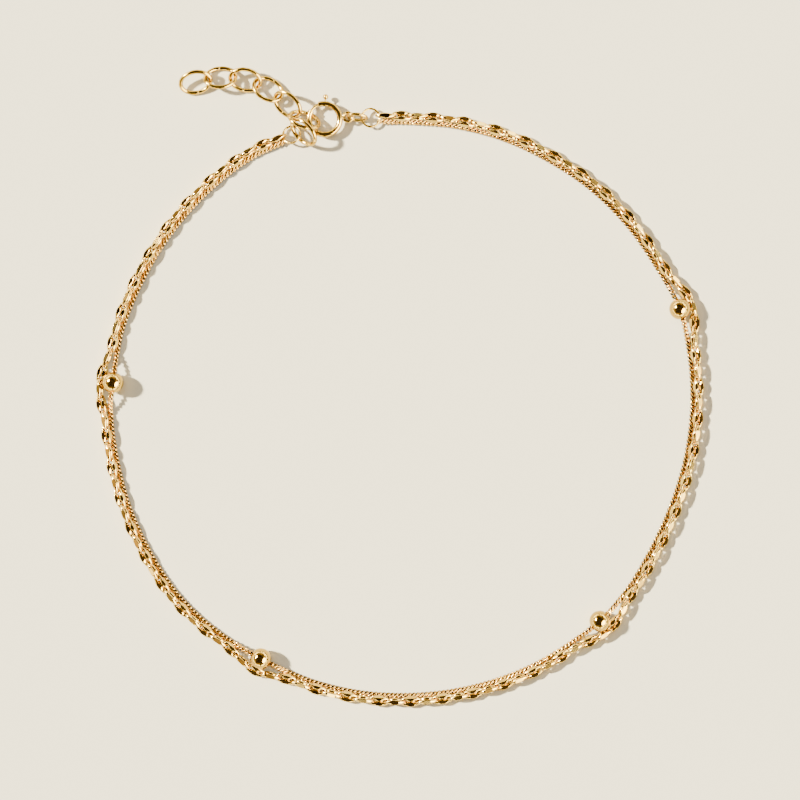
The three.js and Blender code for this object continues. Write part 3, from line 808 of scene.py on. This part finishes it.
def curb_link_object():
    """A small tight link that lies askew, so that the chain shows slanting grains with deep notches."""
    strands = settings().anklet_strands
    wire = strands.curb_wire
    lie = Euler((strands.curb_roll, 0, strands.curb_slant)).to_matrix()
    vertices, faces = wire_link(
        strands.curb_pitch + 2 * wire, strands.curb_link_width, wire, lie, 12, 5, offset=0.5)
    link = mesh_object("curb_link_shape", vertices, faces)
    # Painted shade: the lower a vertex lies in the link, the darker its gold, so notches and undersides look
    # shaded.
    hollows = [min(max(0.9 - 2.8 * vertex.z / wire, 0.0), 1.0) for vertex in vertices]
    link.data.attributes.new("hollow", "FLOAT", "POINT").data.foreach_set("value", hollows)
    return link


def mirror_layout():
    """The mirror links' count, pitch, length and the length along the line of the first of them."""
    strands, findings = settings().anklet_strands, settings().anklet_findings
    pieces = 2400
    points = [mirror_point(ROUTE.length * i / pieces) for i in range(pieces + 1)]
    lengths = [0.0]
    for a, b in zip(points, points[1:]):
        lengths.append(lengths[-1] + (b - a).length)
    gap = strands.wire_gap
    reach = math.sqrt(ring_reach() ** 2 - (strands.strand_spacing - strands.end_shift) ** 2)
    span = lengths[-1] - 2 * reach + 2 * strands.mirror_bite + 3 * gap + findings.ring_wire
    count = 2 * round((span / strands.mirror_pitch - 1) / 2) + 1
    pitch = span / count
    length = pitch + 2 * strands.mirror_wire - strands.mirror_bite
    first = reach + length / 2 - strands.mirror_wire - findings.ring_wire / 2 - gap
    return points, lengths, count, pitch, length, first


def cut_line(points, lengths, start, end):
    """The part of a polyline between two lengths along it, with the length of each of its points."""
    def at(length):
        i = next(i for i, reached in enumerate(lengths) if reached >= length)
        i = max(i, 1)
        share = (length - lengths[i - 1]) / (lengths[i] - lengths[i - 1])
        return points[i - 1].lerp(points[i], share)
    inside = [(p, reached) for p, reached in zip(points, lengths) if start < reached < end]
    line = [(at(start), start), *inside, (at(end), end)]
    return [p for p, _ in line], [reached for _, reached in line]


class ANKLET_OT_make_mirror_chains(bpy.types.Operator):
    """Make both halves of the mirror-link chain"""

    bl_idname = "anklet.make_mirror_chains"
    bl_label = "Mirror Chains"

    def execute(self, context):
        strands = context.scene.anklet_strands
        points, lengths, count, pitch, length, first = mirror_layout()
        link = mirror_link_object(length)
        half = math.ceil(count / 2)
        halves = (("mirror_chain_right", 0, half), ("mirror_chain_left", half, count - half))
        for node, start, number in halves:
            slack = 0 if start == 0 else strands.mirror_bite + strands.wire_gap
            begin = first + start * pitch - slack
            line, reached = cut_line(points, lengths, begin, begin + (number - 1) * pitch)
            leans = [
                math.pi / 2 - strands.mirror_roll * (1 - end_nearness(r, strands.end_run, lengths[-1]))
                for r in reached]
            chain = chain_of_links(
                f"{node}_links", line, leans, link, number, start, -math.pi / 2,
                math.radians(5), "Diamond-cut gold")
            finish_piece(chain, "Diamond-cut gold", node)
        bpy.data.objects.remove(link)
        return {"FINISHED"}


class ANKLET_OT_make_curb_chain(bpy.types.Operator):
    """Make the fine curb chain that runs through the balls"""

    bl_idname = "anklet.make_curb_chain"
    bl_label = "Curb Chain"

    def execute(self, context):
        strands, findings = context.scene.anklet_strands, context.scene.anklet_findings
        link = curb_link_object()
        start = findings.ring_diameter / 2 - findings.ring_wire * 0.5 + strands.curb_pitch * 0.5
        end = ROUTE.length - start
        pieces = 3000
        line = [curb_point(start + (end - start) * i / pieces) for i in range(pieces + 1)]
        whole = sum((b - a).length for a, b in zip(line, line[1:]))
        count = round(whole / strands.curb_pitch) + 1
        chain = chain_of_links(
            "curb_chain_links", line, [0.0] * len(line), link, count, 0, 0.0,
            math.radians(7), "Fine chain gold")
        finish_piece(chain, "Fine chain gold", "curb_chain")
        bpy.data.objects.remove(link)
        return {"FINISHED"}


class ANKLET_OT_make_beads(bpy.types.Operator):
    """Make the four drilled balls"""

    bl_idname = "anklet.make_beads"
    bl_label = "Balls"

    def execute(self, context):
        beads = context.scene.anklet_beads
        radius, bore, lip = beads.diameter / 2, beads.bore / 2, beads.lip
        for i, length in enumerate(BEAD_LENGTHS):
            middle = ROUTE.point_at(length, -end_shift(length))
            beyond = length + 0.1 * MM
            ahead = ROUTE.point_at(beyond, -end_shift(beyond)) - middle
            middle.z = radius
            place = Matrix.Translation(middle) @ Matrix.Rotation(math.atan2(ahead.y, ahead.x), 4, "Z")
            vertices, faces = turned(bead_profile(radius, bore, lip), 96)
            ball = mesh_object(f"ball_{i + 1}", [place @ v for v in vertices], faces)
            finish_piece(ball, "Ball gold", f"bead_{i + 1}")
        return {"FINISHED"}


def bead_profile(radius, bore, lip):
    """A drilled ball's closed profile: the outside, and a rounded mouth at each end of the bore."""
    lip_radius = bore + lip
    lip_along = math.sqrt((radius - lip) ** 2 - lip_radius ** 2)
    contact = math.atan2(lip_radius, lip_along)
    rows, lip_rows = 56, 6
    outside = []
    for i in range(rows + 1):
        angle = contact + (math.pi - 2 * contact) * i / rows
        outside.append((radius * math.cos(angle), radius * math.sin(angle)))
    # From the outside's last point round to the bore's wall at the far mouth.
    mouth = []
    for i in range(1, lip_rows + 1):
        angle = contact - (contact + math.pi / 2) * i / lip_rows
        mouth.append((-lip_along - lip * math.cos(angle), lip_radius + lip * math.sin(angle)))
    near = [(-along, around) for along, around in reversed(mouth)]
    return outside + mouth + near


class ANKLET_OT_make_thin_rings(bpy.types.Operator):
    """Make the two thin rings that gather the strands"""

    bl_idname = "anklet.make_thin_rings"
    bl_label = "Thin Rings"

    def execute(self, context):
        findings = context.scene.anklet_findings
        size, wire = findings.ring_diameter, findings.ring_wire
        # Each ring's place, and the angle of its seam.
        places = {"jump_ring_right": (right_ring_place(), 1.9), "jump_ring_left": (left_ring_place(), 4.9)}
        for node, (place, seam) in places.items():
            ring = mesh_object(f"{node}_wire", *wire_link(size, size, wire, place, 72, 16, seam))
            finish_piece(ring, "Polished gold", node)
        return {"FINISHED"}


class ANKLET_OT_make_clasp_link(bpy.types.Operator):
    """Make the oval link between the clasp and its thin ring"""

    bl_idname = "anklet.make_clasp_link"
    bl_label = "Clasp Link"

    def execute(self, context):
        findings = context.scene.anklet_findings
        reach = eye_distance() + (findings.eye_diameter - findings.eye_wire) / 2
        start = clasp_middle() + Matrix.Rotation(math.radians(EYE_ANGLE), 3, "Z") @ Vector((reach, 0, 0))
        end = right_ring_place() @ Vector((ring_reach(), 0, 0))
        run = end - start
        heading = math.degrees(math.atan2(run.y, run.x))
        tilt = math.degrees(math.atan2(run.z, math.hypot(run.x, run.y)))
        place = Matrix.Translation((start + end) / 2) @ turn(heading, CLASP_LINK_ROLL, tilt).to_4x4()
        size = (findings.link_length, findings.link_width, findings.link_wire)
        link = mesh_object("clasp_link_wire", *wire_link(*size, place, 72, 16, 1.3))
        finish_piece(link, "Polished gold", "clasp_link")
        return {"FINISHED"}


class ANKLET_OT_make_extender(bpy.types.Operator):
    """Make the extender's oval links"""

    bl_idname = "anklet.make_extender"
    bl_label = "Extender"

    def execute(self, context):
        findings = context.scene.anklet_findings
        size = (findings.extender_length, findings.extender_width, findings.extender_wire)
        for i, place in enumerate(extender_places()):
            number = len(EXTENDER_LINKS) - i
            seam = math.pi * (0.5 if i % 2 else 1.5)
            link = mesh_object(f"extender_wire_{number}", *wire_link(*size, place, 88, 20, seam))
            finish_piece(link, "Polished gold", f"extender_link_{number}")
        return {"FINISHED"}


def spring_ring_tube():
    """The clasp's hollow tube, from one rim of its mouth round to the other."""
    findings = settings().anklet_findings
    tube, wall, middle = findings.clasp_tube, findings.clasp_wall, tube_reach()
    start, end = MOUTH_END, MOUTH_START + 360
    sides, steps, edge = 32, 120, 1.2

    def rounded_rim(angle, side):
        rounding = ((0.5, 1.0), (0.87, 0.5))
        return [
            arc_ring(middle, tube - 2 * wall * (1 - c), angle + side * edge * (1 - s), sides)
            for c, s in rounding]

    skin = arc_rings(middle, tube, start + edge, end - edge, steps, sides)
    hollow = arc_rings(middle, tube - 2 * wall, end, start, steps, sides)
    rings = [*rounded_rim(start, 1), *skin, *reversed(rounded_rim(end, -1)), *hollow]
    return mesh_object("spring_ring_tube", *joined_rings(rings))


def cut_thumb_slot(ring):
    """Cuts the slot that the thumb pin slides along out of the tube's outer wall."""
    findings = settings().anklet_findings
    near, far = tube_reach(), findings.clasp_diameter / 2 + findings.clasp_wall
    width = findings.pin_wire + SLOT_PLAY
    margin = math.degrees(width / near) / 2 + 1
    start, end = PIN_ANGLE - BOLT_TRAVEL - margin, PIN_ANGLE + margin
    corners = ((near, width / 2), (near, -width / 2), (far, -width / 2), (far, width / 2))
    rings = []
    steps = 24
    for i in range(steps + 1):
        angle = math.radians(start + (end - start) * i / steps)
        outward = Vector((math.cos(angle), math.sin(angle), 0))
        rings.append([outward * reach + UP * up for reach, up in corners])
    cutter = mesh_object("slot_cutter", *joined_rings(rings, closed=False))
    cut = ring.modifiers.new("Slot", "BOOLEAN")
    cut.operation, cut.object, cut.solver = "DIFFERENCE", cutter, "EXACT"
    apply_modifiers(ring)
    bpy.data.objects.remove(cutter)


def soldered_eye():
    """The clasp's eye and the collar that holds it to the tube."""
    findings = settings().anklet_findings
    size, wire, outside = findings.eye_diameter, findings.eye_wire, findings.clasp_diameter / 2
    eye_turn = Matrix.Rotation(math.radians(EYE_ANGLE), 4, "Z")
    eye = wire_link(size, size, wire, eye_turn @ Matrix.Translation((eye_distance(), 0, 0)), 56, 16)
    start, end = outside - COLLAR_SET_IN, outside + wire * 0.6
    collar = []
    for i in range(13):
        share = i / 12
        flare = 1 + 0.35 * (2 * share - 1) ** 4
        collar.append((start + (end - start) * share, COLLAR_RADIUS * flare))
    return mesh_object("spring_ring_eye", *merge_parts([eye, rod(collar, 20, eye_turn)]))


def smooth_round_edges(obj, degrees=35):
    """Smooth shading with sharp edges kept where faces meet steeply."""
    limit = math.radians(degrees)
    with editing(obj.data) as mesh:
        for face in mesh.faces:
            face.smooth = True
        for edge in mesh.edges:
            edge.smooth = len(edge.link_faces) == 2 and edge.calc_face_angle(0) < limit


class ANKLET_OT_make_spring_ring(bpy.types.Operator):
    """Make the spring ring's tube with its mouth, slot and eye"""

    bl_idname = "anklet.make_spring_ring"
    bl_label = "Spring Ring"

    def execute(self, context):
        ring = spring_ring_tube()
        cut_thumb_slot(ring)
        eye = soldered_eye()
        with editing(ring.data) as mesh:
            mesh.from_mesh(eye.data)
            bmesh.ops.transform(mesh, matrix=Matrix.Translation(clasp_middle()), verts=mesh.verts)
        bpy.data.objects.remove(eye)
        smooth_round_edges(ring)
        finish_piece(ring, "Polished gold", "spring_ring")
        return {"FINISHED"}


class ANKLET_OT_make_spring_bolt(bpy.types.Operator):
    """Make the spring ring's bolt with its thumb pin"""

    bl_idname = "anklet.make_spring_bolt"
    bl_label = "Bolt"

    def execute(self, context):
        findings = context.scene.anklet_findings
        middle, wire, reach = tube_reach(), findings.bolt_wire, findings.pin_reach
        tip = math.degrees(wire / 2 / middle)
        end = MOUTH_END + BOLT_REACH - tip
        shank = arc_rings(middle, wire, BOLT_TAIL, end, 48, 20)
        rounding = [
            arc_ring(middle, wire * math.cos(a), end + tip * math.sin(a), 20) for a in (0.4, 0.8, 1.15, 1.45)]
        pin = []
        for i in range(17):
            share = i / 16
            near_ball = max(0.0, share - 0.6) / 0.4
            girth = 1 - 0.12 * math.sin(math.pi * share) + 0.25 * near_ball ** 3
            pin.append((middle + (reach - middle) * share, findings.pin_wire / 2 * girth))
        ball, rows, radius = [], 18, findings.pin_ball / 2
        for i in range(rows + 1):
            angle = 0.03 + (math.pi - 0.06) * i / rows
            ball.append((reach - radius * math.cos(angle), radius * math.sin(angle)))
        turn_pin = Matrix.Rotation(math.radians(PIN_ANGLE), 4, "Z")
        vertices, faces = merge_parts([
            joined_rings([*shank, *rounding], closed=False), rod(pin, 18, turn_pin), rod(ball, 28, turn_pin)])
        piece = mesh_object("spring_bolt_pin", [clasp_middle() + v for v in vertices], faces)
        finish_piece(piece, "Polished gold", "spring_bolt", "bolt")
        return {"FINISHED"}


# Stage


def hung_light(light, azimuth, elevation, distance=0.0):
    """Hangs a light in a direction from the anklet, given in degrees, and turns it to face the anklet."""
    obj = bpy.data.objects.new(light.name, light)
    a, e = math.radians(azimuth), math.radians(elevation)
    away = Vector((math.cos(a) * math.cos(e), math.sin(a) * math.cos(e), math.sin(e)))
    obj.location = away * distance
    obj.rotation_euler = away.to_track_quat("Z", "Y").to_euler()
    bpy.context.scene.collection.objects.link(obj)
    return obj


def softbox(name, azimuth, elevation, distance, width, height, glow, colour):
    """An oval light that faces the anklet, with the brightness of its face given."""
    light = bpy.data.lights.new(name, "AREA")
    light.shape = "ELLIPSE"
    light.size, light.size_y = width, height
    light.energy = glow * math.pi * (math.pi / 4 * width * height)
    light.color = colour
    return hung_light(light, azimuth, elevation, distance)


def studio_world():
    """The room that the gold reflects: a dark ceiling over bright walls with darker things about."""
    world = bpy.data.worlds.new("Studio")
    world.use_nodes = True
    tree = world.node_tree
    where = add_node(tree, "ShaderNodeTexCoord").outputs["Generated"]
    split = add_node(tree, "ShaderNodeSeparateXYZ", {"Vector": where}).outputs
    uneven = worked_out(tree, "MULTIPLY_ADD", noise(tree, where, 2.6, 2.0), 0.36, split["Z"])
    height = worked_out(tree, "SUBTRACT", uneven, 0.18)
    sided = worked_out(tree, "MULTIPLY_ADD", split["X"], -0.14, height)
    ramp = add_node(tree, "ShaderNodeValToRGB", {"Fac": sided})
    stops = [
        (0.0, (0.02, 0.015, 0.01)), (0.05, (0.03, 0.02, 0.015)), (0.09, (1.0, 0.94, 0.82)),
        (0.31, (1.0, 0.94, 0.82)), (0.37, (0.09, 0.07, 0.045)), (0.50, (0.025, 0.018, 0.011)),
        (0.57, (0.15, 0.11, 0.06)), (0.65, (0.022, 0.015, 0.009)), (1.0, (0.010, 0.007, 0.004))]
    ramp.color_ramp.elements.remove(ramp.color_ramp.elements[1])
    for i, (place, colour) in enumerate(stops):
        stop = ramp.color_ramp.elements[0] if i == 0 else ramp.color_ramp.elements.new(place)
        stop.position = place
        stop.color = (*colour, 1)
    things = stretched(tree, noise(tree, where, 5.5, 1.0), 0.44, 0.51, 0.06)
    colour = mixed(tree, 1.0, ramp.outputs["Color"], things, "MULTIPLY")
    set_inputs(tree.nodes["Background"], {"Color": colour, "Strength": 13.5})
    bpy.context.scene.world = world
    # The walls and ceiling show in the gold alone: the floor has its light from the sun and the fill.
    world.cycles_visibility.diffuse = False


class ANKLET_OT_make_stage(bpy.types.Operator):
    """Make the floor, the lights and the camera"""

    bl_idname = "anklet.make_stage"
    bl_label = "Stage"

    def execute(self, context):
        look = context.scene.anklet_stage
        half, drop = 2.0, -0.02 * MM
        corners = [(-half, -half, drop), (half, -half, drop), (half, half, drop), (-half, half, drop)]
        floor = mesh_object("floor", corners, [(0, 1, 2, 3)], solid=False)
        floor.data.materials.append(paper_material())

        studio_world()
        key = bpy.data.lights.new("Key", "SUN")
        key.energy = look.key_strength
        key.angle = math.radians(KEY_WIDTH)
        key.color = (1.0, 0.95, 0.855)
        hung_light(key, KEY_AZIMUTH, KEY_ELEVATION)
        fill = softbox("Fill", 90, 80, 1.5, 1.6, 1.6, 3.0, (1.0, 0.94, 0.92))
        fill.visible_glossy = False
        glints = (
            softbox("Window", 152, 38, 0.8, 0.27, 0.25, 60.0, (1.0, 0.95, 0.86)),
            softbox("Bounce card", -25, 46, 0.8, 0.8, 0.5, 32.0, (1.0, 0.94, 0.82)),
            softbox("Spot", -8, 55, 0.8, 0.06, 0.06, 120.0, (1.0, 0.96, 0.9)))
        for light in glints:
            light.visible_diffuse = False

        camera = bpy.data.cameras.new("Camera")
        camera.lens = camera.sensor_width * look.camera_height / look.view_width
        camera.clip_start, camera.clip_end = 0.01, 10.0
        camera_obj = bpy.data.objects.new("Camera", camera)
        x = (VIEW_MIDDLE[0] - ROUTE_ZERO[0]) * PIXEL
        y = (ROUTE_ZERO[1] - VIEW_MIDDLE[1]) * PIXEL
        camera_obj.location = (x * MM + SHIFT.x, y * MM + SHIFT.y, look.camera_height)
        context.scene.collection.objects.link(camera_obj)
        context.scene.camera = camera_obj
        return {"FINISHED"}


class ANKLET_PT_panel(bpy.types.Panel):
    """Lists the anklet's sizes and the steps that make it"""

    bl_idname = "ANKLET_PT_panel"
    bl_label = "Charm Anklet"
    bl_space_type = "VIEW_3D"
    bl_region_type = "UI"
    bl_category = "Anklet"

    def draw(self, context):
        layout = self.layout
        for title, name, _ in GROUPS:
            group = getattr(context.scene, name)
            box = layout.box()
            box.label(text=title)
            for prop in group.bl_rna.properties:
                if prop.identifier not in {"rna_type", "name"}:
                    box.prop(group, prop.identifier)
        for operator in OPERATORS:
            layout.operator(operator.bl_idname)


OPERATORS = (
    ANKLET_OT_make_stage,
    ANKLET_OT_make_curb_chain,
    ANKLET_OT_make_mirror_chains,
    ANKLET_OT_make_beads,
    ANKLET_OT_make_thin_rings,
    ANKLET_OT_make_clasp_link,
    ANKLET_OT_make_spring_ring,
    ANKLET_OT_make_spring_bolt,
    ANKLET_OT_make_extender,
)
GROUPS = (
    ("Strands", "anklet_strands", StrandSizes),
    ("Balls", "anklet_beads", BeadSizes),
    ("Clasp, rings and extender", "anklet_findings", FindingSizes),
    ("Gold", "anklet_gold", GoldFinish),
    ("Stage", "anklet_stage", StageLook),
)
CLASSES = (*(group for _, _, group in GROUPS), *OPERATORS, ANKLET_PT_panel)


def register():
    for cls in CLASSES:
        bpy.utils.register_class(cls)
    for _, name, group in GROUPS:
        setattr(bpy.types.Scene, name, PointerProperty(type=group))


def unregister():
    for _, name, _ in GROUPS:
        delattr(bpy.types.Scene, name)
    for cls in reversed(CLASSES):
        bpy.utils.unregister_class(cls)


def main():
    register()
    for operator in OPERATORS:
        group, name = operator.bl_idname.split(".")
        getattr(getattr(bpy.ops, group), name)()


if __name__ == "__main__":
    main()
